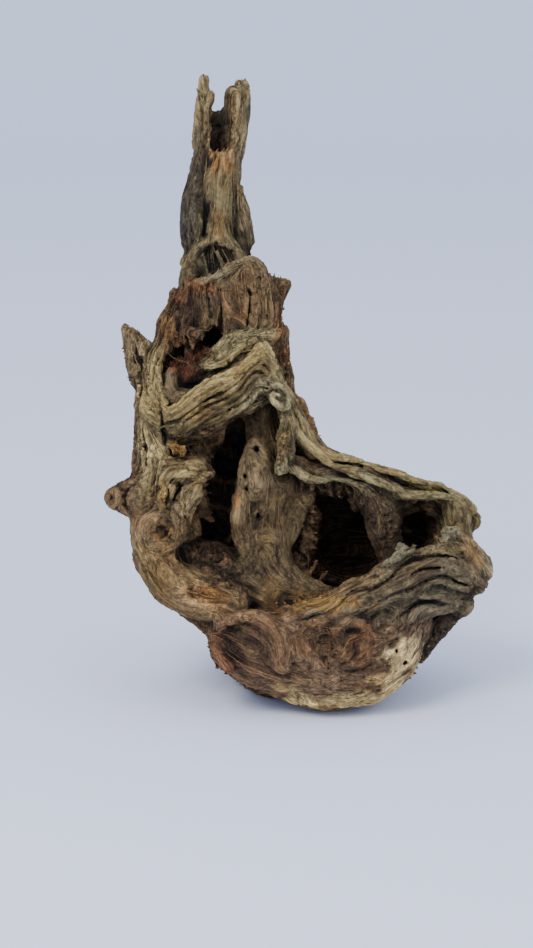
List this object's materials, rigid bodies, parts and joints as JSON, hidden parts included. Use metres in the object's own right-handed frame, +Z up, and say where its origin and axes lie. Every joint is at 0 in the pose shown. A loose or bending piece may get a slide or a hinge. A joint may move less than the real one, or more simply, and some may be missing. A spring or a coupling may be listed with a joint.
{
  "type": "dry root",
  "caption": "Weathered dry root standing on a level-cut foot: a hollow broken stalk above a gnarled burl with open hollows.",
  "frame": {"origin": "bottom centre of the bounding box, in the plane of the level-cut foot", "axes": "+Z up through the stalk; -Y is the front, where the hollows open; +X is to the right seen from the front"},
  "size_m": [0.2536, 0.1888, 0.3979],
  "materials": {
    "dry_wood": "weathered, dry, matt"
  },
  "bodies": {
    "root": {"dry_root": "dry_wood"}
  },
  "joints": []
}
